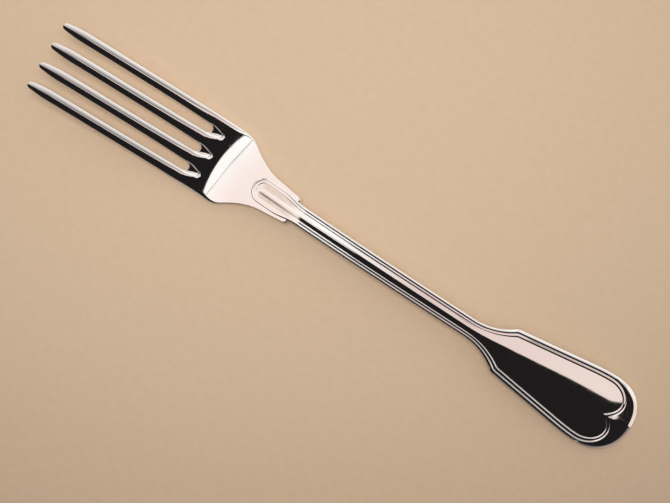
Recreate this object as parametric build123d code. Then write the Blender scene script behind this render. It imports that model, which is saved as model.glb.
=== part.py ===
# A four-tined table fork in the double-thread fiddle pattern: a struck nickel-silver blank
# and the silver skin plated all over it.
# X runs along the fork from the tine tips (-) to the handle end (+), Y across it, +Z up.
# The fork lies face up. The origin is under its middle, on the table.

import math
import os

from build123d import *

# Tines, in millimetres
tine_length = 52.0  # tip to the slot root on the back
tine_pitch = 6.8  # centre to centre
tine_root_width = 3.5
tine_width = 3.1  # where the point starts
point_length = 7.0  # the tapering end of a tine
point_radius = 0.7  # its blunt nose
ramp_length = 4.0  # how far a slot root slopes on towards the front
ramp_width = 3.0
ramp_lip = 0.7  # height of the slot root's upright edge, under the slope

# Head
head_length = 10.0  # slot root to the start of the shoulder
shoulder_radius = 6.0  # the convex turn at the head's corner
shoulder_length = 19.0  # the sweep from the head's side in to the wings
wing_length = 5.2
wing_width = 9.3  # across both wings, where they end beside the stem
wing_round = 0.8

# Tongue, the handle's raised end on the head
tongue_length = 14.8  # rounded end to the wings' ends
tongue_round = 3.6
tongue_width = 7.0

# Stem and fiddle
stem_width = 5.95
stem_length = 63.8  # wings' ends to the start of the flare
flare_length = 11.8
corner_width = 15.0
corner_round = 0.9
fiddle_length = 32.2  # corner to the widest place
fiddle_width = 23.0
end_length = 12.0  # widest place to the rounded end

# Double thread: two grooves along the edge, measured inwards from it
stem_grooves = [(0.40, 0.75), (1.22, 1.55)]
fiddle_grooves = [(0.72, 1.34), (1.96, 2.55)]
groove_depth = 0.22
heart_margin = 2.7  # smooth pad between the heart's lobes and the handle end
heart_spread = 1.37  # how much faster the lobes draw back than the threads' inset
heart_lobe = 4.5  # a lobe's outermost point, from the centreline
heart_cusp = 3.0  # from a lobe's outermost point back to the cusp
heart_turn = 3.0  # the lobes start to turn this far before the widest place

# Side profile: height of the middle of the metal, and its thickness, station by station
tip_height = 15.2
tine_height = 7.2  # half way along the tines
head_height = 1.25  # the head's lowest place
wing_height = 3.9
stem_height = 5.6
corner_height = 4.9
end_height = 1.05
tip_slope = 24.0  # degrees, falling from the tips
end_slope = 5.0  # degrees, falling to the handle end
low_from_root = 6.0  # slot root to the head's lowest place
tip_thickness = 1.3
tine_thickness = 1.9
head_thickness = 2.5
wing_thickness = 2.2
tongue_thickness = 3.4
neck_thickness = 3.3
stem_thickness = 3.7
corner_thickness = 2.5
end_thickness = 2.1
front_round = 0.28
back_round = 0.6

plating_thickness = 0.05

# Stations along the fork, from the tine tips
root_at = tine_length
low_at = root_at + low_from_root
shoulder_at = root_at + head_length
wing_at = shoulder_at + shoulder_length
wing_end_at = wing_at + wing_length
tongue_at = wing_end_at - tongue_length
flare_at = wing_end_at + stem_length
corner_at = flare_at + flare_length
widest_at = corner_at + fiddle_length
fork_length = widest_at + end_length
stem_middle_at = (wing_end_at + flare_at) / 2
middle_at = fork_length / 2

slot_radius = (tine_pitch - tine_root_width) / 2
head_half = 1.5 * tine_pitch + tine_root_width / 2
reach = 40.0  # more than the fork's height and half width, for cutting tools
overrun = 2.0  # side curves run on past both ends

head_thicknesses = [tip_thickness, tine_thickness, head_thickness] + 4 * [wing_thickness]
handle_thicknesses = [
    tip_thickness,
    tine_thickness,
    tongue_thickness,
    neck_thickness,
    stem_thickness,
    corner_thickness,
    end_thickness,
]


def at(along, across):
    return (along - middle_at, across)


def upright(face):
    return extrude(Pos(0, 0, -reach) * face, 2 * reach, dir=(0, 0, 1))


def mirrored_face(half):
    other = [edge.mirror(Plane.XZ) for edge in half]
    return make_face(half + other)


# One tine's two flanks and its point, from slot root to slot root
def tine_edges(centre, inset):
    run = point_length - point_radius
    half = tine_width / 2 - inset
    nose = point_radius - inset
    curve = (run**2 + half**2 - nose**2) / (2 * half - 2 * nose)
    lean = math.asin(run / (curve - nose))
    nose_at = point_radius - nose * math.sin(lean)
    nose_half = nose * math.cos(lean)
    root_half = tine_root_width / 2 - inset
    edges = []
    for side in (-1, 1):
        root = at(root_at - slot_radius, centre + side * root_half)
        start = at(point_length, centre + side * half)
        edges.append(Spline(root, start, tangents=[(-1, 0), (-1, 0)]))
        edges.append(TangentArc(start, at(nose_at, centre + side * nose_half), tangent=(-1, 0)))
    ends = [at(nose_at, centre + side * nose_half) for side in (-1, 1)]
    edges.append(ThreePointArc(ends[0], at(inset, centre), ends[1]))
    return edges


# The head's outline: slots, tines, sides, shoulders and wings
def head_face(inset):
    slot_half = slot_radius + inset
    slot_middle = root_at - slot_radius
    slot_45 = slot_half * math.sqrt(0.5)
    side_half = head_half - inset
    wing_half = wing_width / 2 - inset
    turn_radius = shoulder_radius - inset
    wing_turn = wing_round - inset
    wing_stop = wing_end_at - inset
    drop = head_half - wing_width / 2
    turn = math.acos(1 - 2 * drop**2 / (shoulder_length**2 + drop**2))
    join = at(
        shoulder_at + turn_radius * math.sin(turn),
        side_half - turn_radius * (1 - math.cos(turn)),
    )
    half = [
        ThreePointArc(
            at(slot_middle + slot_half, 0),
            at(slot_middle + slot_45, slot_45),
            at(slot_middle, slot_half),
        ),
        ThreePointArc(
            at(slot_middle, tine_pitch - slot_half),
            at(slot_middle + slot_half, tine_pitch),
            at(slot_middle, tine_pitch + slot_half),
        ),
    ]
    half += tine_edges(tine_pitch / 2, inset)
    half += tine_edges(1.5 * tine_pitch, inset)
    half += [
        Line(at(slot_middle, side_half), at(shoulder_at, side_half)),
        TangentArc(at(shoulder_at, side_half), join, tangent=(1, 0)),
        TangentArc(at(wing_at, wing_half), join, tangent=(-1, 0)),
        Line(at(wing_at, wing_half), at(wing_stop - wing_turn, wing_half)),
        TangentArc(
            at(wing_stop - wing_turn, wing_half),
            at(wing_stop, wing_half - wing_turn),
            tangent=(1, 0),
        ),
        Line(at(wing_stop, wing_half - wing_turn), at(wing_stop, 0)),
    ]
    return mirrored_face(half)


# Where a straight line from the corner touches the ellipse of the handle's end
def touch_angle():
    a = (corner_at - widest_at) / end_length
    b = corner_width / fiddle_width
    return math.atan2(b, a) - math.acos(1 / math.hypot(a, b))


# The fiddle's corner, moved in square to both of the edges that meet there
def corner_point(inset):
    flare_rise = (corner_width - stem_width) / 2
    flare_angle = 2 * math.atan2(flare_rise, flare_length)
    touch = touch_angle()
    touch_at = widest_at + end_length * math.cos(touch)
    touch_half = fiddle_width / 2 * math.sin(touch)
    side_angle = math.atan2(touch_half - corner_width / 2, touch_at - corner_at)
    middle = (flare_angle + side_angle) / 2
    shift = inset / math.cos((flare_angle - side_angle) / 2)
    return at(corner_at + shift * math.sin(middle), corner_width / 2 - shift * math.cos(middle))


# Tongue, stem and flare, inset from the handle's edge; ends at the fiddle's corner
def stem_edges(stem_inset, corner):
    tongue_middle = tongue_at + tongue_round
    tongue_half = tongue_width / 2 - stem_inset
    stem_half = stem_width / 2 - stem_inset
    tongue_end = EllipticalCenterArc(
        at(tongue_middle, 0), tongue_round - stem_inset, tongue_half, start_angle=90, arc_size=90
    )
    return [
        tongue_end,
        Line(at(tongue_middle, tongue_half), at(wing_end_at, stem_half)),
        Line(at(wing_end_at, stem_half), at(flare_at, stem_half)),
        TangentArc(at(flare_at, stem_half), corner, tangent=(1, 0)),
    ]


def handle_face(inset):
    corner = corner_point(inset)
    end = EllipticalCenterArc(
        at(widest_at, 0),
        end_length - inset,
        fiddle_width / 2 - inset,
        start_angle=0,
        arc_size=math.degrees(touch_angle()),
    )
    half = stem_edges(inset, corner)
    half += [Line(corner, end @ 1), end]
    face = mirrored_face(half)
    corners = [v for v in face.vertices() if abs(v.X - corner[0]) < 0.001]
    return fillet(corners, corner_round - inset)


# The area inside one line of the thread, whose far end is drawn in to a heart
def thread_face(stem_inset, fiddle_inset):
    corner = corner_point(fiddle_inset)
    lobe_at = fork_length - heart_margin - heart_spread * fiddle_inset
    side_end = at(widest_at - heart_turn, fiddle_width / 2 - fiddle_inset)
    side_run = (side_end[0] - corner[0], side_end[1] - corner[1])
    heart = Spline(
        side_end,
        at(lobe_at, heart_lobe),
        at(lobe_at - heart_cusp, 0),
        tangents=[side_run, (0, -1), (-heart_cusp, -heart_lobe / 2)],
    )
    half = stem_edges(stem_inset, corner)
    half += [Line(corner, side_end), heart]
    return mirrored_face(half)


# The fork's curve seen from the side, as a plate of the given thickness at each station
def side_plate(thicknesses, inset):
    stations = [0, tine_length / 2, low_at, wing_end_at, stem_middle_at, corner_at, fork_length]
    heights = [
        tip_height,
        tine_height,
        head_height,
        wing_height,
        stem_height,
        corner_height,
        end_height,
    ]
    fall = math.tan(math.radians(tip_slope))
    drop = math.tan(math.radians(end_slope))
    lines = []
    for side in (1, -1):
        points = [
            (along - middle_at, 0, height + side * (thickness / 2 - inset))
            for along, height, thickness in zip(stations, heights, thicknesses)
        ]
        before = Vector(points[0]) + Vector(-overrun, 0, overrun * fall)
        after = Vector(points[-1]) + Vector(overrun, 0, -overrun * drop)
        curve = Spline(*points, tangents=[(1, 0, -fall), (1, 0, -drop)])
        lines.append([Line(before, points[0]), curve, Line(points[-1], after)])
    front, back = lines
    edges = front + back
    edges += [Line(front[0] @ 0, back[0] @ 0), Line(front[2] @ 1, back[2] @ 1)]
    return extrude(Pos(0, -reach, 0) * make_face(edges), 2 * reach, dir=(0, 1, 0))


# An outline given the plate's curve and thickness, with its front and back edges rounded
def formed(face, thicknesses, inset):
    body = upright(face) & side_plate(thicknesses, inset)
    for side, radius in ((1, front_round), (-1, back_round)):
        broad = body.faces().sort_by(SortBy.AREA)[-2:].sort_by(Axis.Z)
        edges = broad[side > 0].edges()
        body = fillet(edges, radius - inset)
    return body


# The round-bottomed slopes that lead from the front down into the slots
def slot_ramps(inset):
    slope = math.atan2(head_thickness - ramp_lip, ramp_length)
    radius = ramp_width / 2
    along = Vector(math.cos(slope), 0, math.sin(slope))
    square = Vector(-math.sin(slope), 0, math.cos(slope))
    floor = Vector(root_at - middle_at, 0, head_height - head_thickness / 2 + ramp_lip)
    start = floor + square * radius - along * slot_radius
    from_end = (Align.CENTER, Align.CENTER, Align.MIN)
    ramps = []
    for row in (-1, 0, 1):
        plane = Plane(origin=start + Vector(0, row * tine_pitch, 0), z_dir=along)
        ramps.append(plane * Cylinder(radius + inset, reach, align=from_end))
    return ramps


# The two grooves of the thread, front and back
def thread_grooves(inset):
    keep = side_plate([t - 2 * groove_depth for t in handle_thicknesses], inset)
    grooves = []
    for (stem_out, stem_in), (fiddle_out, fiddle_in) in zip(stem_grooves, fiddle_grooves):
        outer = thread_face(stem_out - inset, fiddle_out - inset)
        inner = thread_face(stem_in + inset, fiddle_in + inset)
        ring = upright(outer - inner)
        grooves.append(ring - keep)
    return grooves


def fork_body(inset):
    body = formed(head_face(inset), head_thicknesses, inset)
    body -= slot_ramps(inset)
    body += formed(handle_face(inset), handle_thicknesses, inset)
    body -= thread_grooves(inset)
    return body


outside = fork_body(0)
fork_blank = fork_body(plating_thickness)
silver_plating = outside - fork_blank
on_table = Pos(0, 0, -outside.bounding_box().min.Z)

os.makedirs("parts", exist_ok=True)
export_step(on_table * fork_blank, "parts/fork_blank.step")
export_step(on_table * silver_plating, "parts/silver_plating.step")
print(f"fork {fork_length:.1f} mm long, blank {fork_blank.volume:.0f} mm3")
print(f"plating {silver_plating.volume:.1f} mm3")
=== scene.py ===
import math

import bpy
import numpy as np
from mathutils import Matrix, Vector


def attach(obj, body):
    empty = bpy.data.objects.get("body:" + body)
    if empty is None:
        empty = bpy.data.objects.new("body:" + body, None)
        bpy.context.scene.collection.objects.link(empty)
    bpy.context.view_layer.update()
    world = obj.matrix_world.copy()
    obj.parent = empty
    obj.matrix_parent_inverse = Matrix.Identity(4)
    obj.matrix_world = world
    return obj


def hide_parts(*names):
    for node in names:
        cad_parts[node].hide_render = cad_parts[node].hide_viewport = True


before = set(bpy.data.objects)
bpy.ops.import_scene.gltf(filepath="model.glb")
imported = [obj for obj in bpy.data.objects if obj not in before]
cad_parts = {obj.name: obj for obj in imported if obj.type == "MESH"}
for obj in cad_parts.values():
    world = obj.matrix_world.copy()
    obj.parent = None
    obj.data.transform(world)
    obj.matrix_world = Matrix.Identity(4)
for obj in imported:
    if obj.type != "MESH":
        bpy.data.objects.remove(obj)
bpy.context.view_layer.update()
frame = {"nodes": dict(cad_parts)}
bpy.ops.object.select_all(action="DESELECT")
mm = 0.001
print("frame loaded:", ", ".join(frame["nodes"]))

# The fork seen from the side, in mm from the tine tips
sideLine = {
    "length": 206.0,
    "stations": (0.0, 26.0, 58.0, 86.2, 118.1, 161.8, 206.0),
    "heights": (15.2, 7.2, 1.25, 3.9, 5.6, 4.9, 1.05),  # middle of the metal
    "headThickness": (1.3, 1.9, 2.5, 2.2, 2.2, 2.2, 2.2),
    "handleThickness": (1.3, 1.9, 2.3, 3.2, 3.7, 2.5, 2.1),
    "tipFall": 24.0,  # degrees
    "endFall": 5.0,
}


# Goes from 0 to 1 between two places, with no kink
def smooth(value, start, stop):
    t = np.clip((value - start) / (stop - start), 0.0, 1.0)
    return t * t * t * (t * (6.0 * t - 15.0) + 10.0)


# A curve through every station with no kink, as a bent strip of metal takes
def throughStations(values):
    x = np.array(sideLine["stations"])
    y = np.array(values)
    gap = np.diff(x)
    count = len(x)
    rows = np.zeros((count, count))
    want = np.zeros(count)
    rows[0, 0] = rows[-1, -1] = 1.0
    want[0] = -math.tan(math.radians(sideLine["tipFall"]))
    want[-1] = -math.tan(math.radians(sideLine["endFall"]))
    for i in range(1, count - 1):
        rows[i, i - 1] = 1.0 / gap[i - 1]
        rows[i, i] = 2.0 / gap[i - 1] + 2.0 / gap[i]
        rows[i, i + 1] = 1.0 / gap[i]
        want[i] = 3.0 * ((y[i] - y[i - 1]) / gap[i - 1] ** 2 + (y[i + 1] - y[i]) / gap[i] ** 2)
    slope = np.linalg.solve(rows, want)

    def height(s):
        i = np.clip(np.searchsorted(x, s) - 1, 0, count - 2)
        g = gap[i]
        t = (s - x[i]) / g
        return (
            (2 * t**3 - 3 * t**2 + 1) * y[i]
            + (t**3 - 2 * t**2 + t) * g * slope[i]
            + (3 * t**2 - 2 * t**3) * y[i + 1]
            + (t**3 - t**2) * g * slope[i + 1]
        )

    return height


def faceCurves(thickness):
    middle = np.array(sideLine["heights"])
    half = np.array(sideLine[thickness]) / 2
    return throughStations(middle + half), throughStations(middle - half)


headFront, headBack = faceCurves("headThickness")
handleFront, handleBack = faceCurves("handleThickness")


# A grid primitive whose crossings are laid on the fork's surface
def layGrid(name, points):
    rows, columns = points.shape[:2]
    bpy.ops.mesh.primitive_grid_add(
        x_subdivisions=columns - 1, y_subdivisions=rows - 1, size=1.0
    )
    piece = bpy.context.object
    piece.name = name
    place = points.copy()
    place[..., 0] -= sideLine["length"] / 2
    piece.data.vertices.foreach_set("co", (place * mm).ravel())
    piece.data.update()
    return piece


def joinAll(pieces, name):
    bpy.ops.object.select_all(action="DESELECT")
    for piece in pieces:
        piece.select_set(True)
    bpy.context.view_layer.objects.active = pieces[0]
    bpy.ops.object.join()
    whole = bpy.context.object
    whole.name = name
    whole.data.name = name
    return whole


weldReach = 0.002 * mm


# Merges the active piece's doubled points and turns its faces outwards
def weld():
    bpy.ops.object.mode_set(mode="EDIT")
    bpy.ops.mesh.select_all(action="SELECT")
    bpy.ops.mesh.remove_doubles(threshold=weldReach)
    bpy.ops.mesh.dissolve_degenerate(threshold=weldReach / 10)
    bpy.ops.mesh.select_all(action="SELECT")
    bpy.ops.mesh.normals_make_consistent(inside=False)
    bpy.ops.object.mode_set(mode="OBJECT")


def applyModifier(piece, kind, **settings):
    bpy.context.view_layer.objects.active = piece
    modifier = piece.modifiers.new(kind.title(), kind)
    for key, value in settings.items():
        setattr(modifier, key, value)
    bpy.ops.object.modifier_apply(modifier=modifier.name)


def mirrorAcross(piece):
    applyModifier(
        piece,
        "MIRROR",
        use_axis=(False, True, False),
        use_clip=True,
        merge_threshold=weldReach,
    )


# Closes the flanks between a front and a back face, all but the side on the mirror line
def wallIn(piece):
    bpy.ops.object.mode_set(mode="EDIT")
    bpy.ops.mesh.select_mode(type="EDGE")
    bpy.ops.mesh.select_all(action="DESELECT")
    bpy.ops.mesh.select_non_manifold(
        extend=False,
        use_wire=False,
        use_multi_face=False,
        use_non_contiguous=False,
        use_verts=False,
    )
    bpy.ops.object.mode_set(mode="OBJECT")
    place = piece.data.vertices
    for edge in piece.data.edges:
        if edge.select and all(abs(place[v].co.y) < weldReach / 2 for v in edge.vertices):
            edge.select = False
    bpy.ops.object.mode_set(mode="EDIT")
    bpy.ops.mesh.bridge_edge_loops(number_cuts=2, interpolation="LINEAR", smoothness=0.0)
    bpy.ops.object.mode_set(mode="OBJECT")


# Tines, head, shoulders and wings
headPlate = {
    "pitch": 6.8,
    "headHalf": 11.95,
    "tineWidth": 3.3,
    "rootWidth": 4.0,
    "pointLength": 7.5,
    "noseRadius": 1.1,
    "slotRoot": 52.0,
    "shoulderAt": 62.0,
    "shoulderRadius": 6.0,
    "wingAt": 83.5,
    "wingEnd": 86.2,
    "wingHalf": 4.5,
    "wingRound": 0.8,
    "wingSwell": 0.4,
    "swellAt": 74.0,
    "tineGrowth": (0.2, 0.8),  # how much it widens evenly, and how much only near the root
    "tineFall": 0.31,  # how far a tine's edge drops, as a share of its rounding
    "tineRound": (1.4, 1.05),  # widest rounding on the front, at the tips and the root
    "tinePower": 1.5,  # how fast it falls away there, up to "powerFrom"
    "powerFrom": 45.0,
    "rimReach": (1.0, 0.08),  # the rounded edge beside the slots, and along the neck
    "rimFall": (0.45, 0.03),
    "backFall": 0.3,
    "backEdge": 1.3,
    "troughEnd": 54.9,  # the hollow that runs on from a slot's root into the front
    "troughTip": 0.2,
    "troughReach": 1.1,
    "troughDepth": 0.55,
    "troughTaper": 1.15,
    "troughSoft": 2.0,  # length over which its walls grow soft
    # where a tine's rounding gives way to the next form
    "backBlend": (40.0, 55.0),
    "troughBlend": (40.0, 52.0),
    "rimBlend": (44.0, 57.0),
    "neckBlend": (57.0, 66.0),
    # faces across, then rows along
    "tineFaces": 14,
    "slotFaces": 12,
    "noseRows": 8,
    "pointRows": 12,
    "shaftRows": 27,
    "plateRows": 31,
    "neckRows": 23,
    "rowEase": 1.2,  # rows lie closer at the slots and at the wings
}
slotHalf = (headPlate["pitch"] - headPlate["rootWidth"]) / 2
slotMiddle = headPlate["slotRoot"] - slotHalf
headHalf = headPlate["headHalf"]


# Half width of a tine: a round nose, a long curved point, then a slow widening
def tineHalf(s, root):
    point, nose = headPlate["pointLength"], headPlate["noseRadius"]
    half = headPlate["tineWidth"] / 2
    run = point - nose
    curve = (run**2 + half**2 - nose**2) / (2 * half - 2 * nose)
    lean = math.asin(run / (curve - nose))
    noseEnd = nose - nose * math.sin(lean)
    noseLine = np.sqrt(np.maximum(nose**2 - (nose - s) ** 2, 0.0))
    pointLine = half - curve + np.sqrt(np.maximum(curve**2 - (point - s) ** 2, 0.0))
    t = np.clip((s - point) / (slotMiddle - point), 0.0, 1.0)
    even, late = headPlate["tineGrowth"]
    flank = half + (root - half) * (even * t + late * t**4)
    return np.where(s < noseEnd, noseLine, np.where(s < point, pointLine, flank))


# Half width of the head, and the cosine of its outline's slope
def headOutline(s):
    d = headPlate
    drop = headHalf - d["wingHalf"]
    run = d["wingAt"] - d["shoulderAt"]
    r1 = d["shoulderRadius"]
    r2 = (run**2 + drop**2) / (2 * drop) - r1
    turn = math.asin(run / (r1 + r2))
    join = d["shoulderAt"] + r1 * math.sin(turn)
    into = np.clip(s - d["shoulderAt"], 0.0, r1 * math.sin(turn))
    left = np.clip(d["wingAt"] - s, 0.0, r2 * math.sin(turn))
    convex = headHalf - r1 + np.sqrt(r1**2 - into**2)
    concave = d["wingHalf"] + r2 - np.sqrt(r2**2 - left**2)
    swelling = np.clip((s - d["swellAt"]) / (d["wingEnd"] - d["swellAt"]), 0, 1)
    swell = d["wingSwell"] * np.sin(math.pi * swelling) ** 2
    half = np.where(s < join, convex, concave + swell)
    slope = np.where(s < join, into / r1, left / r2)
    return half, np.sqrt(1 - slope**2)


# Height lost towards an edge: nothing from the reach inwards, the whole fall at the edge
def edgeDrop(distance, reach, fall, power=2.0):
    return fall * (1 - np.clip(distance / np.maximum(reach, 0.001), 0.0, 1.0)) ** power


# The columns of half the head: place across, first row on the plate, tine and root width
def headColumns():
    across, start, tine, root = [], [], [], []
    slotFaces, tineFaces = headPlate["slotFaces"], headPlate["tineFaces"]
    for k in range(slotFaces // 2):
        a = math.pi / 2 * (1 - 2 * k / slotFaces)
        across.append(slotHalf * math.cos(a))
        start.append(slotMiddle + slotHalf * math.sin(a))
        tine.append((0.0, 0.0))
        root.append(1.0)
    for centre in (0.5 * headPlate["pitch"], 1.5 * headPlate["pitch"]):
        for k in range(tineFaces + 1):
            f = -math.cos(math.pi * k / tineFaces)
            outside = centre > headPlate["pitch"] and f > 0
            root.append(headHalf - centre if outside else headPlate["rootWidth"] / 2)
            across.append(centre + f * root[-1])
            start.append(slotMiddle)
            tine.append((centre, f))
        if centre < headPlate["pitch"]:
            for k in range(1, slotFaces):
                a = math.pi * k / slotFaces
                across.append(headPlate["pitch"] - slotHalf * math.cos(a))
                start.append(slotMiddle + slotHalf * math.sin(a))
                tine.append((0.0, 0.0))
                root.append(1.0)
    return np.array(across), np.array(start), np.array(tine), np.array(root)


def makeHead():
    d = headPlate
    across, start, tine, root = headColumns()
    centre, f = tine[:, 0], tine[:, 1]
    onTine = centre > 0
    nose = d["noseRadius"] * (1 - np.cos(np.linspace(0, math.pi / 2, d["noseRows"])))
    point = np.linspace(d["noseRadius"], d["pointLength"], d["pointRows"])[1:]
    shaft = np.linspace(d["pointLength"], slotMiddle, d["shaftRows"])[1:]
    tineRows = np.concatenate([nose, point, shaft])
    plateRows = np.linspace(0, 1, d["plateRows"])[1:] ** d["rowEase"]
    neckRows = 1 - (1 - np.linspace(0, 1, d["neckRows"])[1:]) ** d["rowEase"]

    along, wide, depth, rim = [], [], [], []
    for s in tineRows:
        half = tineHalf(s, root)
        along.append(np.full(len(across), s))
        wide.append(np.where(onTine, centre + f * half, across))
        depth.append(np.where(onTine, half * (1 - np.abs(f)), 0.0))
        rim.append(depth[-1])
    along[-1] = start.copy()
    for g in plateRows:
        s = start + (d["shoulderAt"] - start) * g
        near = [np.hypot(s - slotMiddle, across - c) - slotHalf for c in (0.0, d["pitch"])]
        along.append(s)
        wide.append(across)
        depth.append(np.minimum(np.minimum(*near), headHalf - across))
        rim.append(headHalf - across)
    share = across / headHalf
    corner = np.clip(1 - (1 - share) * d["wingHalf"] / d["wingRound"], 0, 1)
    stop = d["wingEnd"] - d["wingRound"] * (1 - np.sqrt(1 - corner**2))
    for g in neckRows:
        s = d["shoulderAt"] + (stop - d["shoulderAt"]) * g
        half, level = headOutline(s)
        along.append(s)
        wide.append(share * half)
        depth.append(np.minimum(half * (1 - share) * level, stop - s))
        rim.append(depth[-1])
    s, y, outer = np.array(along), np.array(wide), np.array(rim)
    edge = np.maximum(np.array(depth), 0.0)

    thick = headFront(s) - headBack(s)
    tineReach = tineHalf(s, d["rootWidth"] / 2)
    tineFall = d["tineFall"] * tineReach
    onPlate = smooth(s, *d["backBlend"])
    backReach = tineReach + (d["backEdge"] - tineReach) * onPlate
    backFall = tineFall + (thick * d["backFall"] - tineFall) * onPlate
    back = headBack(s) + edgeDrop(edge, backReach, backFall)
    # the front of a tine is flatter in its middle than the back
    frontReach = np.minimum(tineReach, np.interp(s, (0.0, slotMiddle), d["tineRound"]))
    power = d["tinePower"] + (2.0 - d["tinePower"]) * smooth(s, d["powerFrom"], slotMiddle)
    frontFall = d["tineFall"] * frontReach * 2 / power
    atRoot, onNeck = smooth(s, *d["rimBlend"]), smooth(s, *d["neckBlend"])
    rimReach = frontReach + (d["rimReach"][0] - frontReach) * atRoot
    rimReach += (d["rimReach"][1] - d["rimReach"][0]) * onNeck
    rimFall = frontFall + (d["rimFall"][0] - frontFall) * atRoot
    rimFall += (d["rimFall"][1] - d["rimFall"][0]) * onNeck
    drop = edgeDrop(np.where(s > slotMiddle, outer, edge), rimReach, rimFall, power)
    # on the front each slot runs on as a tapering trough
    run = np.clip((s - slotMiddle) / (d["troughEnd"] - slotMiddle), 0.0, 1.0)
    floorHalf = slotHalf + (d["troughTip"] - slotHalf) * run ** d["troughTaper"]
    toTrough = smooth(s, *d["troughBlend"])
    reach = frontReach + (d["troughReach"] - frontReach) * toTrough
    fall = frontFall + (d["troughDepth"] - frontFall) * toTrough
    soft = smooth(s, slotMiddle, slotMiddle + d["troughSoft"])
    for c in (0.0, d["pitch"]):
        away = np.hypot(np.maximum(s - d["troughEnd"], 0.0), y - c) - floorHalf
        t = np.clip(away / reach, 0.0, 1.0)
        wall = fall * ((1 - t) ** 2 * (1 - soft) + (1 - t * t * (3 - 2 * t)) * soft)
        drop = np.where(s > slotMiddle, np.maximum(drop, wall), drop)
    front = headFront(s) - drop

    # the faces across the slots are taken out
    halves = []
    last = len(tineRows) - 1
    width = len(across) - 1
    for name, z in (("headFrontFace", front), ("headBackFace", back)):
        piece = layGrid(name, np.stack([s, y, z], axis=-1))
        bpy.ops.object.mode_set(mode="EDIT")
        bpy.ops.mesh.select_mode(type="FACE")
        bpy.ops.mesh.select_all(action="DESELECT")
        bpy.ops.object.mode_set(mode="OBJECT")
        for face in piece.data.polygons:
            row, column = divmod(face.index, width)
            inSlot = not (onTine[column] and onTine[column + 1])
            face.select = bool(row < last and inSlot)
        bpy.ops.object.mode_set(mode="EDIT")
        bpy.ops.mesh.delete(type="FACE")
        bpy.ops.object.mode_set(mode="OBJECT")
        weld()
        halves.append(piece)
    whole = joinAll(halves, "forkHead")
    wallIn(whole)
    mirrorAcross(whole)
    weld()
    return whole


# Tongue, stem and fiddle with the double thread along their edge
handle = {
    "tongueAt": 71.4,
    "tongueRound": 3.6,
    "tongueHalf": 3.95,
    "neckAt": 89.5,
    "neckInsetFrom": 0.25,  # share of the neck that the thread runs on unchanged
    "neckTaperFrom": 0.3,  # and that the outline does
    "stemHalf": 2.975,
    "flareAt": 149.0,
    "cornerAt": 161.6,
    "cornerHalf": 7.65,
    "turnAt": 186.0,
    "turnHalf": 11.0,
    "widestAt": 194.0,
    "fiddleHalf": 11.67,
    "endPower": 2.3,  # the end is a blunt oval
    "endSplit": 0.2,  # share of its rows that still belong to the side
    # lines of the thread as insets from the edge: on the tongue, the stem and the fiddle
    "lines": (
        (0.0, 0.0, 0.0),
        (0.34, 0.48, 0.75),
        (0.66, 0.85, 1.22),
        (1.26, 1.37, 1.88),
        (1.58, 1.54, 2.30),
        (1.85, 1.75, 2.70),
    ),
    "threadHeight": (0.06, 0.12, 0.29),
    "threadAt": (146.0, 164.0),  # where the stem's thread turns into the fiddle's
    "threadBead": (0.14, 0.01),  # how far the second thread rises, on the stem and the fiddle
    "beadAt": (146.0, 160.0),
    "edgeTurn": (0.25, 0.55, 0.75),  # widest rounded edge, again on tongue, stem and fiddle
    "endTurn": 0.35,  # how much wider it gets round the handle's end
    "endTurnAt": (193.0, 202.0),
    "turnShare": 0.95,  # most of the rim's width that it takes up
    "turnPower": 1.2,
    "edgeFall": 0.5,  # as a share of the rounded edge's width
    "heartMargin": 4.17,
    "heartSpread": 0.804,
    "heartLobe": 4.4,
    "heartCusp": (1.4, 0.8),  # how far it is drawn in, and more for each mm of inset
    "heartFull": (1.31, 1.02),  # how long it keeps on along the side, and across the end
    "heartAt": 193.0,
    "heartSplit": 0.6,  # share of its rows before the lobe
    "heartEase": 1.8,
    "domeHalf": 1.2,
    "tongueCrown": 0.16,
    "tongueCrownAt": (72.4, 75.4),
    "stemCrown": 0.09,
    "stemCrownAt": (76.0, 92.0),
    "fiddleCrown": 0.25,
    "fiddleCrownAt": (146.0, 168.0),
    "endFlat": 0.45,  # how much of the crown is lost towards the handle's end
    "endFlatAt": (195.0, 203.0),
    "crownSoft": 0.01,
    # columns from the middle outwards: panel, each space of the thread, pad and edge
    "panelColumns": (1.0, 0.88, 0.75, 0.62, 0.5, 0.38, 0.26, 0.16, 0.07, 0.0),
    "threadColumns": 6,
    "padStart": (0.05, 0.3),  # in mm, and at most this share of the pad
    "padColumns": ((0.4, 0.0), (0.7, 0.0), (1.0, 0.06), (1.0, 0.0)),  # the last two are close
    "padShare": 0.25,
    "turnColumns": (0.04, 0.12, 0.25, 0.45, 0.65, 0.85, 1.0),
}
# the lines' places on a scale that counts the spaces between them
lineMarks = np.array([0.0, 0.5, 1.5, 2.5, 3.5, 4.5])
# rows of each stretch, as shares of its length
segmentRows = {
    "tongue": np.linspace(0, 1, 15)[:-1],
    "neck": np.linspace(0, 1, 23)[:-1],
    "stem": np.linspace(0, 1, 41)[:-1],
    "flare": np.linspace(0, 0.975, 22),
    "side": np.linspace(0.012, 1, 41)[:-1],
    "end": np.linspace(0, 1, 61),
}
sideRise = handle["turnHalf"] - handle["cornerHalf"]
sideSlope = sideRise / (handle["turnAt"] - handle["cornerAt"])


# The fiddle's corner, moved in by an inset from both of its sides
def cornerPoint(inset):
    rise = handle["cornerHalf"] - handle["stemHalf"]
    flare = 2 * math.atan2(rise, handle["cornerAt"] - handle["flareAt"])
    side = math.atan(sideSlope)
    middle = (flare + side) / 2
    shift = inset / math.cos((flare - side) / 2)
    return np.array(
        [
            handle["cornerAt"] + shift * math.sin(middle),
            handle["cornerHalf"] - shift * math.cos(middle),
        ]
    )


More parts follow.
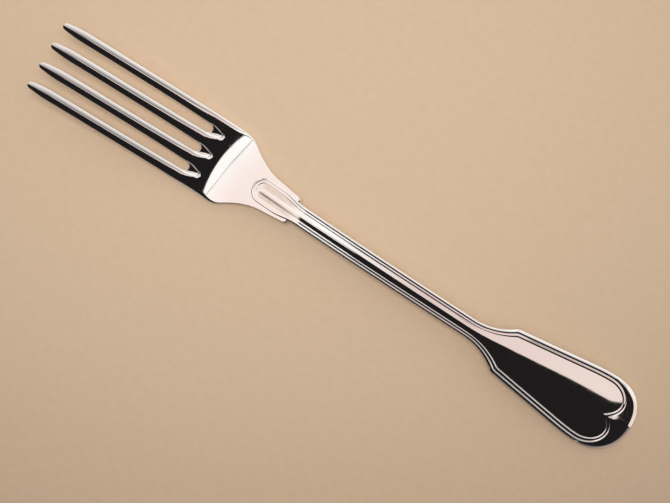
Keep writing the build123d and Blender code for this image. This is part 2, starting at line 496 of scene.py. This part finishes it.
# Half width of the fiddle, from its corner to where it is widest
def sideHalf(x):
    d = handle
    run = d["widestAt"] - d["turnAt"]
    f = np.clip((x - d["turnAt"]) / run, 0.0, 1.0)
    turning = (
        (2 * f**3 - 3 * f**2 + 1) * d["turnHalf"]
        + (f**3 - 2 * f**2 + f) * sideSlope * run
        + (3 * f**2 - 2 * f**3) * d["fiddleHalf"]
    )
    return np.where(x < d["turnAt"], d["cornerHalf"] + sideSlope * (x - d["cornerAt"]), turning)


# A curve from one point to another that leaves and arrives in set directions
def bend(p0, p1, t0, t1, f):
    f = f[:, None]
    return (
        (2 * f**3 - 3 * f**2 + 1) * p0
        + (f**3 - 2 * f**2 + f) * t0
        + (3 * f**2 - 2 * f**3) * p1
        + (f**3 - f**2) * t1
    )


# The heart that a line of the thread is drawn in to at the handle's end
def heartLine(start, run, inset, f):
    d = handle
    lobeAt = sideLine["length"] - d["heartMargin"] - d["heartSpread"] * inset
    lobe = np.array([lobeAt, d["heartLobe"]])
    depth = d["heartCusp"][0] + d["heartCusp"][1] * inset
    cusp = np.array([lobeAt - depth, 0.0])
    first, second = np.linalg.norm(lobe - start), np.linalg.norm(cusp - lobe)
    away = np.array([-depth, -d["heartLobe"] / 2])
    down = np.array([0.0, -1.0])
    split = d["heartSplit"]
    a = (f[f <= split] / split) ** d["heartEase"]
    b = (f[f > split] - split) / (1 - split)
    ahead = run / np.linalg.norm(run) * first * d["heartFull"][0]
    outer = bend(start, lobe, ahead, down * first * d["heartFull"][1], a)
    inner = bend(lobe, cusp, down * second, away / np.linalg.norm(away) * second, b)
    return np.concatenate([outer, inner])


# One line along half of the handle, from the tongue's end round to the far end
def handleLine(tongueInset, stemInset, fiddleInset):
    d = handle
    parts = []
    middle = d["tongueAt"] + d["tongueRound"]
    a = math.pi / 2 * segmentRows["tongue"]
    along = middle - (d["tongueRound"] - tongueInset) * np.cos(a)
    parts.append(np.stack([along, (d["tongueHalf"] - tongueInset) * np.sin(a)], axis=-1))
    f = segmentRows["neck"]
    inset = tongueInset + (stemInset - tongueInset) * smooth(f, d["neckInsetFrom"], 1.0)
    taper = (d["stemHalf"] - d["tongueHalf"]) * smooth(f, d["neckTaperFrom"], 1.0)
    along = middle + (d["neckAt"] - middle) * f
    parts.append(np.stack([along, d["tongueHalf"] + taper - inset], axis=-1))
    f = segmentRows["stem"]
    half = d["stemHalf"] - stemInset
    along = d["neckAt"] + (d["flareAt"] - d["neckAt"]) * f
    parts.append(np.stack([along, np.full(len(f), half)], axis=-1))
    corner = cornerPoint(fiddleInset)
    run, rise = corner[0] - d["flareAt"], corner[1] - half
    radius = (run**2 + rise**2) / (2 * rise)
    a = 2 * math.atan2(rise, run) * segmentRows["flare"]
    along = d["flareAt"] + radius * np.sin(a)
    parts.append(np.stack([along, half + radius * (1 - np.cos(a))], axis=-1))
    f = segmentRows["side"]
    across = fiddleInset / math.cos(math.atan(sideSlope))
    along = corner[0] + (d["heartAt"] - corner[0]) * f
    side = sideHalf(along) - across
    stop = np.array([d["heartAt"], sideHalf(d["heartAt"]) - across])
    parts.append(np.stack([along, side], axis=-1))
    f = segmentRows["end"]
    if fiddleInset == 0:
        split = d["endSplit"]
        along = d["heartAt"] + (d["widestAt"] - d["heartAt"]) * f[f < split] / split
        parts.append(np.stack([along, sideHalf(along)], axis=-1))
        a = math.pi / 2 * (1 - (f[f >= split] - split) / (1 - split))
        power = 2 / d["endPower"]
        length = sideLine["length"] - d["widestAt"]
        along = d["widestAt"] + length * np.abs(np.cos(a)) ** power
        parts.append(np.stack([along, d["fiddleHalf"] * np.sin(a) ** power], axis=-1))
    else:
        parts.append(heartLine(stop, stop - parts[-1][-1], fiddleInset, f))
    return np.concatenate(parts)


# The thread goes down from the rim to the panel in two soft steps
def threadWave(mark, bead):
    steps = (0.0, -0.5 - bead / 2, -0.5 + bead / 2, -1.0)
    k = min(int(mark - 0.5), 2)
    t = min(mark - 0.5 - k, 1.0)
    if k != 1:
        t = (1 - math.cos(math.pi * t)) / 2
    return steps[k] + (steps[k + 1] - steps[k]) * t


# How far the front swells along its middle
def handleCrown(s, y):
    d = handle
    onFiddle = smooth(s, *d["fiddleCrownAt"])
    fiddleHalf = d["cornerHalf"] + sideSlope * (s - d["cornerAt"])
    half = d["domeHalf"] + (fiddleHalf - d["domeHalf"]) * onFiddle
    onStem = smooth(s, *d["stemCrownAt"])
    crown = d["tongueCrown"] + (d["stemCrown"] - d["tongueCrown"]) * onStem
    crown *= smooth(s, *d["tongueCrownAt"])
    crown += (d["fiddleCrown"] - d["stemCrown"]) * onFiddle
    crown *= 1 - d["endFlat"] * smooth(s, *d["endFlatAt"])
    left = 1 - (y / half) ** 2
    return crown * (np.sqrt(left**2 + d["crownSoft"]) + left) / 2


def makeHandle():
    d = handle
    lines = np.stack([handleLine(*insets) for insets in d["lines"]], axis=1)
    rows = len(lines)
    ends = np.cumsum([len(segmentRows[k]) for k in segmentRows])
    inner = lines[:, -1]
    spine = inner.copy()
    spine[:, 1] = 0.0
    heartRows = slice(ends[4], None)
    spine[heartRows, 0] = np.linspace(inner[ends[4], 0], inner[-1, 0], rows - ends[4])
    # how far each row is past the tongue's flutes
    past = np.ones(rows)
    past[: ends[0]] = 0.0
    past[ends[0] : ends[1]] = smooth(segmentRows["neck"], d["neckInsetFrom"], 1.0)
    onFiddle = smooth(inner[:, 0], *d["threadAt"])
    tongueHigh, stemHigh, fiddleHigh = d["threadHeight"]
    high = tongueHigh + (stemHigh - tongueHigh) * past + (fiddleHigh - stemHigh) * onFiddle
    high = high[:, None]
    stemBead, fiddleBead = d["threadBead"]
    bead = stemBead + (fiddleBead - stemBead) * smooth(inner[:, 0], *d["beadAt"])
    bead = bead[:, None]
    tongueTurn, stemTurn, fiddleTurn = d["edgeTurn"]
    widest = tongueTurn + (stemTurn - tongueTurn) * past + (fiddleTurn - stemTurn) * onFiddle
    widest += d["endTurn"] * smooth(lines[:, 0, 0], *d["endTurnAt"])

    place, relief = [], []
    for q in d["panelColumns"]:
        place.append(inner + (spine - inner) * q)
        relief.append(-high)
    columns = 4 * d["threadColumns"]
    for mark in lineMarks[-1] - np.arange(1, columns + 1) / d["threadColumns"]:
        k = min(int(np.searchsorted(lineMarks, mark, side="right")) - 1, len(lineMarks) - 2)
        t = (mark - lineMarks[k]) / (lineMarks[k + 1] - lineMarks[k])
        place.append(lines[:, k] + (lines[:, k + 1] - lines[:, k]) * t)
        relief.append(high * threadWave(mark, bead))
    threads = len(place)
    rim, edge = lines[:, 1], lines[:, 0]
    width = np.linalg.norm(rim - edge, axis=1)[:, None]
    turn = np.minimum(widest[:, None], d["turnShare"] * width)
    pad = width - turn
    outwards = (edge - rim) / width
    nearest, most = d["padStart"]
    place.append(rim + outwards * np.minimum(nearest, most * pad))
    relief.append(np.zeros((rows, 1)))
    for t, short in d["padColumns"]:
        place.append(rim + outwards * (t * pad - np.minimum(short, d["padShare"] * pad)))
        relief.append(np.zeros((rows, 1)))
    for t in d["turnColumns"]:
        place.append(rim + outwards * (pad + t * turn))
        relief.append(-d["edgeFall"] * turn * t ** d["turnPower"])
    plan = np.stack(place, axis=1)
    relief = np.concatenate(relief, axis=1)
    s, y = plan[..., 0], np.maximum(plan[..., 1], 0.0)
    crown = handleCrown(s, y)
    crown[:, threads:] = crown[:, threads - 1 : threads]  # level pad outside the thread
    front = np.stack([s, y, handleFront(s) + crown + relief], axis=-1)
    back = np.stack([s, y, handleBack(s) - crown / 2 - relief], axis=-1)

    wall = [front[:, -1] + (back[:, -1] - front[:, -1]) * k / 4 for k in (1, 2, 3)]
    wall = np.stack(wall, axis=1)
    piece = layGrid("forkHandle", np.concatenate([front, wall, back[:, ::-1]], axis=1))
    weld()
    mirrorAcross(piece)
    weld()
    return piece


forkHead = makeHead()
print("head and tines:", len(forkHead.data.polygons), "faces")
forkHandle = makeHandle()
print("tongue, stem and fiddle:", len(forkHandle.data.polygons), "faces")

# The silver skin: head and handle made one
plating = {"thickness": 0.05, "creaseAngle": 50.0}
applyModifier(forkHead, "SUBSURF", levels=1, render_levels=1)
applyModifier(forkHead, "BOOLEAN", object=forkHandle, operation="UNION", solver="EXACT")
bpy.data.objects.remove(forkHandle)
silverSkin = forkHead
silverSkin.name = silverSkin.data.name = "silverSkin"
bpy.ops.object.select_all(action="DESELECT")
silverSkin.select_set(True)
bpy.context.view_layer.objects.active = silverSkin
weld()
lowest = min(v.co.z for v in silverSkin.data.vertices)
silverSkin.data.transform(Matrix.Translation((0, 0, -lowest)))
bpy.ops.object.shade_smooth_by_angle(angle=math.radians(plating["creaseAngle"]))
print("silver skin:", len(silverSkin.data.polygons), "faces")

# The struck blank under the plating
bpy.ops.object.duplicate()
struckBlank = bpy.context.object
struckBlank.name = struckBlank.data.name = "struckBlank"
bpy.ops.object.mode_set(mode="EDIT")
bpy.ops.mesh.select_all(action="SELECT")
bpy.ops.transform.shrink_fatten(value=-plating["thickness"] * mm)
bpy.ops.object.mode_set(mode="OBJECT")
print("struck blank:", len(struckBlank.data.polygons), "faces")


# Finishes, on the pieces' own coordinates
def newMaterial(name, metallic):
    material = bpy.data.materials.new(name)
    material.use_nodes = True
    shader = material.node_tree.nodes["Principled BSDF"]
    shader.inputs["Metallic"].default_value = metallic
    return material, material.node_tree, shader


# Links a socket to another, or gives it a colour or a number
def feed(tree, socket, source):
    if isinstance(source, bpy.types.NodeSocket):
        tree.links.new(source, socket)
    elif isinstance(source, tuple):
        socket.default_value = (*source, 1)
    else:
        socket.default_value = source


def mapped(tree, source, low, high, toLow=0.0, toHigh=1.0):
    node = tree.nodes.new("ShaderNodeMapRange")
    feed(tree, node.inputs["Value"], source)
    feed(tree, node.inputs["From Min"], low)
    feed(tree, node.inputs["From Max"], high)
    feed(tree, node.inputs["To Min"], toLow)
    feed(tree, node.inputs["To Max"], toHigh)
    return node.outputs["Result"]


def maths(tree, operation, *sources):
    node = tree.nodes.new("ShaderNodeMath")
    node.operation = operation
    for socket, source in zip(node.inputs, sources):
        feed(tree, socket, source)
    return node.outputs[0]


def product(tree, result, *sources):
    for source in sources:
        result = maths(tree, "MULTIPLY", result, source)
    return result


def mixed(tree, factor, first, second, blend="MIX"):
    node = tree.nodes.new("ShaderNodeMix")
    node.data_type = "RGBA"
    node.blend_type = blend
    feed(tree, node.inputs["Factor"], factor)
    colors = [socket for socket in node.inputs if socket.type == "RGBA"]
    for socket, source in zip(colors, (first, second)):
        feed(tree, socket, source)
    return [socket for socket in node.outputs if socket.type == "RGBA"][0]


def tinted(tree, source, stops):
    node = tree.nodes.new("ShaderNodeValToRGB")
    elements = node.color_ramp.elements
    for position, color in stops[1:-1]:
        elements.new(position)
    for element, (position, color) in zip(elements, stops):
        element.position = position
        element.color = (*color, 1)
    feed(tree, node.inputs["Fac"], source)
    return node.outputs["Color"]


def stretchedNoise(tree, scale, detail):
    place = tree.nodes.new("ShaderNodeTexCoord")
    stretch = tree.nodes.new("ShaderNodeMapping")
    stretch.inputs["Scale"].default_value = scale
    noise = tree.nodes.new("ShaderNodeTexNoise")
    noise.inputs["Scale"].default_value = 1.0
    noise.inputs["Detail"].default_value = detail
    tree.links.new(place.outputs["Object"], stretch.inputs["Vector"])
    tree.links.new(stretch.outputs["Vector"], noise.inputs["Vector"])
    return noise.outputs["Fac"]


def evenNoise(tree, scale, detail):
    return stretchedNoise(tree, (scale, scale, scale), detail)


# Hairline wear along the fork, shared by both metals
wear = {"stretch": (45.0, 2600.0, 2600.0), "detail": 3.0, "range": (0.5, 0.8)}
polishWear = bpy.data.node_groups.new("polishWear", "ShaderNodeTree")
for key in ("polished", "worn"):
    polishWear.interface.new_socket(key, in_out="INPUT", socket_type="NodeSocketFloat")
polishWear.interface.new_socket("Roughness", in_out="OUTPUT", socket_type="NodeSocketFloat")
enter = polishWear.nodes.new("NodeGroupInput")
leave = polishWear.nodes.new("NodeGroupOutput")
hairlines = stretchedNoise(polishWear, wear["stretch"], wear["detail"])
roughness = (enter.outputs["polished"], enter.outputs["worn"])
worn = mapped(polishWear, hairlines, *wear["range"], *roughness)
polishWear.links.new(worn, leave.inputs["Roughness"])


# A metal with that wear and a cloudy tint
def newMetal(name, look):
    material, tree, shader = newMaterial(name, 1.0)
    group = tree.nodes.new("ShaderNodeGroup")
    group.node_tree = polishWear
    for key in ("polished", "worn"):
        group.inputs[key].default_value = look[key]
    tree.links.new(group.outputs["Roughness"], shader.inputs["Roughness"])
    tint = tinted(tree, evenNoise(tree, look["cloud"], look["detail"]), look["tones"])
    tree.links.new(tint, shader.inputs["Base Color"])
    return material, tree, shader, tint


silverLook = {
    "polished": 0.02,  # roughness
    "worn": 0.05,
    "cloud": 70.0,
    "detail": 4.0,
    "tones": ((0.35, (0.94, 0.93, 0.91)), (0.7, (0.905, 0.885, 0.855))),
}
silver, tree, shader, tint = newMetal("polishedSilver", silverLook)
# the tongue's two flutes get a speckled, darker tan tint, on the front only
flutes = {
    "along": (73.6, 75.0, 84.5, 87.0),  # in mm: where it begins, is full, goes and has gone
    "across": (0.6, 0.9, 2.1, 2.5),
    "above": (3.2, 3.6),
    "speckle": 2200.0,
    "speckleDetail": 2.0,
    "speckleRange": (0.2, 0.6),
    "tone": (0.72, 0.665, 0.585),
}
place = tree.nodes.new("ShaderNodeTexCoord")
split = tree.nodes.new("ShaderNodeSeparateXYZ")
tree.links.new(place.outputs["Object"], split.inputs[0])
x, y, z = split.outputs
aside = maths(tree, "ABSOLUTE", y)
begin, full, going, gone = [(s - sideLine["length"] / 2) * mm for s in flutes["along"]]
inner, innerFull, outerFull, outer = [across * mm for across in flutes["across"]]
low, high = [height * mm for height in flutes["above"]]
speckle = evenNoise(tree, flutes["speckle"], flutes["speckleDetail"])
inFlute = product(
    tree,
    mapped(tree, x, begin, full),
    mapped(tree, x, gone, going),
    mapped(tree, aside, inner, innerFull),
    mapped(tree, aside, outer, outerFull),
    mapped(tree, z, low, high),
    mapped(tree, speckle, *flutes["speckleRange"]),
)
tree.links.new(mixed(tree, inFlute, tint, flutes["tone"]), shader.inputs["Base Color"])

nickelLook = {
    "polished": 0.25,
    "worn": 0.4,
    "cloud": 120.0,
    "detail": 3.0,
    "tones": ((0.3, (0.73, 0.70, 0.62)), (0.7, (0.67, 0.64, 0.56))),
}
nickel = newMetal("nickelSilver", nickelLook)[0]

# Warm paper with painted light: a painted falloff makes it paler towards the top of the picture
# and far away
paperLook = {
    "roughness": 0.9,
    "fibres": 420.0,
    "fibreDetail": 6.0,
    "tones": ((0.25, (0.722, 0.535, 0.366)), (0.75, (0.758, 0.565, 0.394))),
    "turn": -32.9,  # degrees, so that the painted falloff lies straight in the picture
    "shift": (0.0252, -0.0598, 0.0),
    "stretch": (0.8662, 1.1384, 0.0),
    # painted light, over the squared distance from its palest place, near the top of the
    # picture
    "paintedFalloff": (
        (0.0, (0.93, 0.93, 0.94)),
        (0.04375, (0.60, 0.59, 0.585)),
        (0.25, (0.73, 0.72, 0.715)),
        (1.0, (0.98, 0.97, 0.965)),
    ),
    "tooth": 900.0,
    "toothDetail": 4.0,
    "toothStrength": 0.2,
    "toothDepth": 0.1,
}
paper, tree, shader = newMaterial("warmPaper", 0.0)
shader.inputs["Roughness"].default_value = paperLook["roughness"]
shader.inputs["Specular IOR Level"].default_value = 0.0
fibres = evenNoise(tree, paperLook["fibres"], paperLook["fibreDetail"])
place = tree.nodes.new("ShaderNodeTexCoord")
turned = tree.nodes.new("ShaderNodeMapping")
turned.inputs["Rotation"].default_value = (0, 0, math.radians(paperLook["turn"]))
turned.inputs["Location"].default_value = paperLook["shift"]
tree.links.new(place.outputs["Object"], turned.inputs["Vector"])
scaled = tree.nodes.new("ShaderNodeVectorMath")
scaled.operation = "MULTIPLY"
scaled.inputs[1].default_value = paperLook["stretch"]
tree.links.new(turned.outputs["Vector"], scaled.inputs[0])
square = tree.nodes.new("ShaderNodeVectorMath")
square.operation = "DOT_PRODUCT"
for socket in square.inputs[:2]:
    tree.links.new(scaled.outputs["Vector"], socket)
tint = tinted(tree, fibres, paperLook["tones"])
# painted light: palest near the top of the picture, darker around it, paler again far away, in
# place of the lamp's falloff
paintedFalloff = tinted(tree, square.outputs["Value"], paperLook["paintedFalloff"])
tree.links.new(mixed(tree, 1.0, tint, paintedFalloff, "MULTIPLY"), shader.inputs["Base Color"])
tooth = tree.nodes.new("ShaderNodeBump")
tooth.inputs["Strength"].default_value = paperLook["toothStrength"]
tooth.inputs["Distance"].default_value = paperLook["toothDepth"] * mm
grain = evenNoise(tree, paperLook["tooth"], paperLook["toothDetail"])
tree.links.new(grain, tooth.inputs["Height"])
tree.links.new(tooth.outputs["Normal"], shader.inputs["Normal"])

for piece, material in ((silverSkin, silver), (struckBlank, nickel)):
    piece.data.materials.clear()
    piece.data.materials.append(material)
print("finishes: polished silver, nickel silver, warm paper")

# Floor
floorPlace = {"size": 4.0, "under": 0.02}
bpy.ops.mesh.primitive_plane_add(
    size=floorPlace["size"], location=(0, 0, -floorPlace["under"] * mm)
)
floor = bpy.context.object
floor.name = "paperFloor"
floor.data.materials.append(paper)

# Camera, at the photograph's angle
cameraPlace = {
    "at": (0.0168, 0.0650, 0.5054),
    "right": (0.8356, 0.5399, -0.1015),
    "up": (-0.5484, 0.8308, -0.0950),
    "lens": 90.54,
    "sensor": 36.0,
    "nearest": 0.01,
}
right, up = Vector(cameraPlace["right"]).normalized(), Vector(cameraPlace["up"])
away = right.cross(up).normalized()
up = away.cross(right)
cameraData = bpy.data.cameras.new("camera")
camera = bpy.data.objects.new("camera", cameraData)
bpy.context.scene.collection.objects.link(camera)
camera.matrix_world = Matrix.Translation(cameraPlace["at"]) @ Matrix(
    [[right[i], up[i], away[i]] for i in range(3)]
).to_4x4()
cameraData.lens = cameraPlace["lens"]
cameraData.sensor_width = cameraPlace["sensor"]
cameraData.clip_start = cameraPlace["nearest"]
bpy.context.scene.camera = camera
print("floor and camera are in place")

# Light: a bright room with a dark side overhead. A row of four numbers is a ramp: from and to
# in the direction that is mirrored, then the two values
room = {
    # the dark side's edge, bent a little along the fork, and its bowed end over the neck
    "edge": (-0.1, 0.15, -0.08, -0.104),
    "edgeBend": (0.235, 0.31, 0.0, 0.013),
    "edgeSoft": (-0.0015, 0.0015, 1.0, 0.0),
    "middle": 0.131,
    "bow": 100.0,
    "bowMost": 0.198,
    "darkEnd": (-0.087, -0.081, 0.0, 1.0),
    "darkAside": (-0.5, -0.25, 0.88, 0.0),
    "darkLow": (0.15, 0.4, 0.5, 1.0),
    "darkTone": (0.0135, 0.0122, 0.0125),
    # the bright side, along the fork
    "slant": 1.57,
    "slantReach": (-0.05, 0.05, -0.05, 0.05),
    "tones": (
        (0.12, (1.08, 1.05, 1.03)),
        (0.27, (0.99, 0.83, 0.77)),
        (0.36, (1.04, 0.90, 0.86)),
        (0.4155, (1.06, 1.02, 1.0)),
        (0.4200, (1.08, 1.07, 1.06)),
        (0.46, (1.08, 1.06, 1.05)),
        (0.57, (0.80, 0.645, 0.625)),
        (0.70, (0.90, 0.75, 0.70)),
    ),
    "whiteFrom": (0.2, 0.75),
    "whiteTone": (1.06, 1.04, 1.01),
    # a seam between two panes of the window
    "seamAt": 0.1645,
    "seamSoft": (0.0025, 0.0045, 1.0, 0.0),
    "seamEnd": (-0.104, -0.098, 1.0, 0.0),
    "seamTone": (0.58, 0.54, 0.55),
    # between the white overhead and the white low down, the room is greyer
    "greys": (
        (0.0, 0.16),
        (0.16, 0.26),
        (0.38, 0.42),
        (0.57, 0.60),
        (0.68, 0.82),
        (0.80, 1.0),
        (0.92, 1.06),
    ),
    "greyTint": (1.0, 0.955, 0.95),
    "greyLine": (
        (0.05, 0.24, 0.19, -0.02),
        (-0.12, -0.02, 0.11, 0.0),
        (0.36, 0.42, 0.0, -0.1),
    ),
    "greySoft": (-0.02, 0.02, 0.0, 1.0),
    "greyAlong": (
        (0.12, 0.22, 0.8, 1.0),
        (-0.28, -0.2, 0.0, 1.0),
        (0.50, 0.57, 1.0, 0.0),
        (0.31, 0.38, 1.0, 0.8),
    ),
    # the far corner and the end wall are in shade
    "cornerAlong": (-0.75, -0.4, 0.75, 0.0),
    "cornerAcross": (0.3, 0.5, 0.0, 1.0),
    "wallAlong": (-0.85, -0.6, 0.7, 0.0),
    "wallAcross": (0.05, 0.25, 1.0, 0.0),
    "shadeTone": (0.10, 0.095, 0.095),
    # what lights the paper, and what the camera sees past it
    "paperSides": (-0.5, 0.5),
    "paperDim": (0.16, 0.157, 0.153),
    "paperBright": (0.80, 0.785, 0.765),
    "backdrop": (0.86, 0.80, 0.72),
}
world = bpy.data.worlds.new("studio")
bpy.context.scene.world = world
world.use_nodes = True
tree = world.node_tree
coordinate = tree.nodes.new("ShaderNodeTexCoord")
split = tree.nodes.new("ShaderNodeSeparateXYZ")
tree.links.new(coordinate.outputs["Generated"], split.inputs[0])
x, y, z = split.outputs


def sloped(source, key):
    return mapped(tree, source, *room[key])


edgeLine = maths(tree, "ADD", sloped(x, "edge"), sloped(x, "edgeBend"))
overEdge = sloped(maths(tree, "SUBTRACT", y, edgeLine), "edgeSoft")
offset = maths(tree, "ADD", y, room["middle"])
bow = maths(tree, "MINIMUM", product(tree, offset, offset, room["bow"]), room["bowMost"])
pastEnd = sloped(maths(tree, "ADD", x, bow), "darkEnd")
pastEnd = maths(tree, "MAXIMUM", pastEnd, sloped(y, "darkAside"))
dark = product(tree, overEdge, pastEnd, sloped(z, "darkLow"))

slant = product(tree, sloped(offset, "slantReach"), room["slant"])
leaning = maths(tree, "ADD", x, slant)
bright = tinted(tree, mapped(tree, leaning, -1.0, 1.0), room["tones"])
white = mapped(tree, y, *room["whiteFrom"])
white.node.interpolation_type = "SMOOTHSTEP"
bright = mixed(tree, white, bright, room["whiteTone"])

fromSeam = maths(tree, "ABSOLUTE", maths(tree, "ADD", leaning, room["seamAt"]))
seam = product(tree, sloped(fromSeam, "seamSoft"), sloped(y, "seamEnd"))
bright = mixed(tree, seam, bright, room["seamTone"])

greys = [(at, tuple(level * c for c in room["greyTint"])) for at, level in room["greys"]]
greyTone = tinted(tree, mapped(tree, y, 0.0, 1.0), greys)
greyLine = 0.0
for ramp in room["greyLine"]:
    greyLine = maths(tree, "ADD", greyLine, mapped(tree, x, *ramp))
grey = sloped(maths(tree, "SUBTRACT", y, greyLine), "greySoft")
grey = product(tree, grey, *[mapped(tree, x, *ramp) for ramp in room["greyAlong"]])
bright = mixed(tree, grey, bright, greyTone)

corner = product(tree, sloped(x, "cornerAlong"), sloped(y, "cornerAcross"))
wall = product(tree, sloped(x, "wallAlong"), sloped(y, "wallAcross"))
bright = mixed(tree, maths(tree, "MAXIMUM", corner, wall), bright, room["shadeTone"])

# the pieces mirror this room, and the paper is lit by plain pale walls
mirrored = mixed(tree, dark, bright, room["darkTone"])
plain = mixed(tree, sloped(y, "paperSides"), room["paperDim"], room["paperBright"])
path = tree.nodes.new("ShaderNodeLightPath")
around = mixed(tree, path.outputs["Is Glossy Ray"], plain, mirrored)
around = mixed(tree, path.outputs["Is Camera Ray"], around, room["backdrop"])
tree.links.new(around, tree.nodes["Background"].inputs["Color"])

lampPlace = {
    "at": (-0.02, 0.14, 0.80),
    "towards": (0.0, 0.02, 0.0),
    "size": (0.3, 0.22),
    "power": 3.5,
}
softbox = bpy.data.lights.new("softbox", "AREA")
softbox.shape = "RECTANGLE"
softbox.size, softbox.size_y = lampPlace["size"]
softbox.energy = lampPlace["power"]
lamp = bpy.data.objects.new("softbox", softbox)
bpy.context.scene.collection.objects.link(lamp)
lamp.location = lampPlace["at"]
lamp.rotation_mode = "QUATERNION"
toLamp = lamp.location - Vector(lampPlace["towards"])
lamp.rotation_quaternion = toLamp.to_track_quat("Z", "Y")
lamp.visible_glossy = False
print("room and softbox are in place")

bpy.context.scene.view_settings.view_transform = "Standard"

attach(silverSkin, "root")
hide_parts("silver_plating")
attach(struckBlank, "root")
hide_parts("fork_blank")
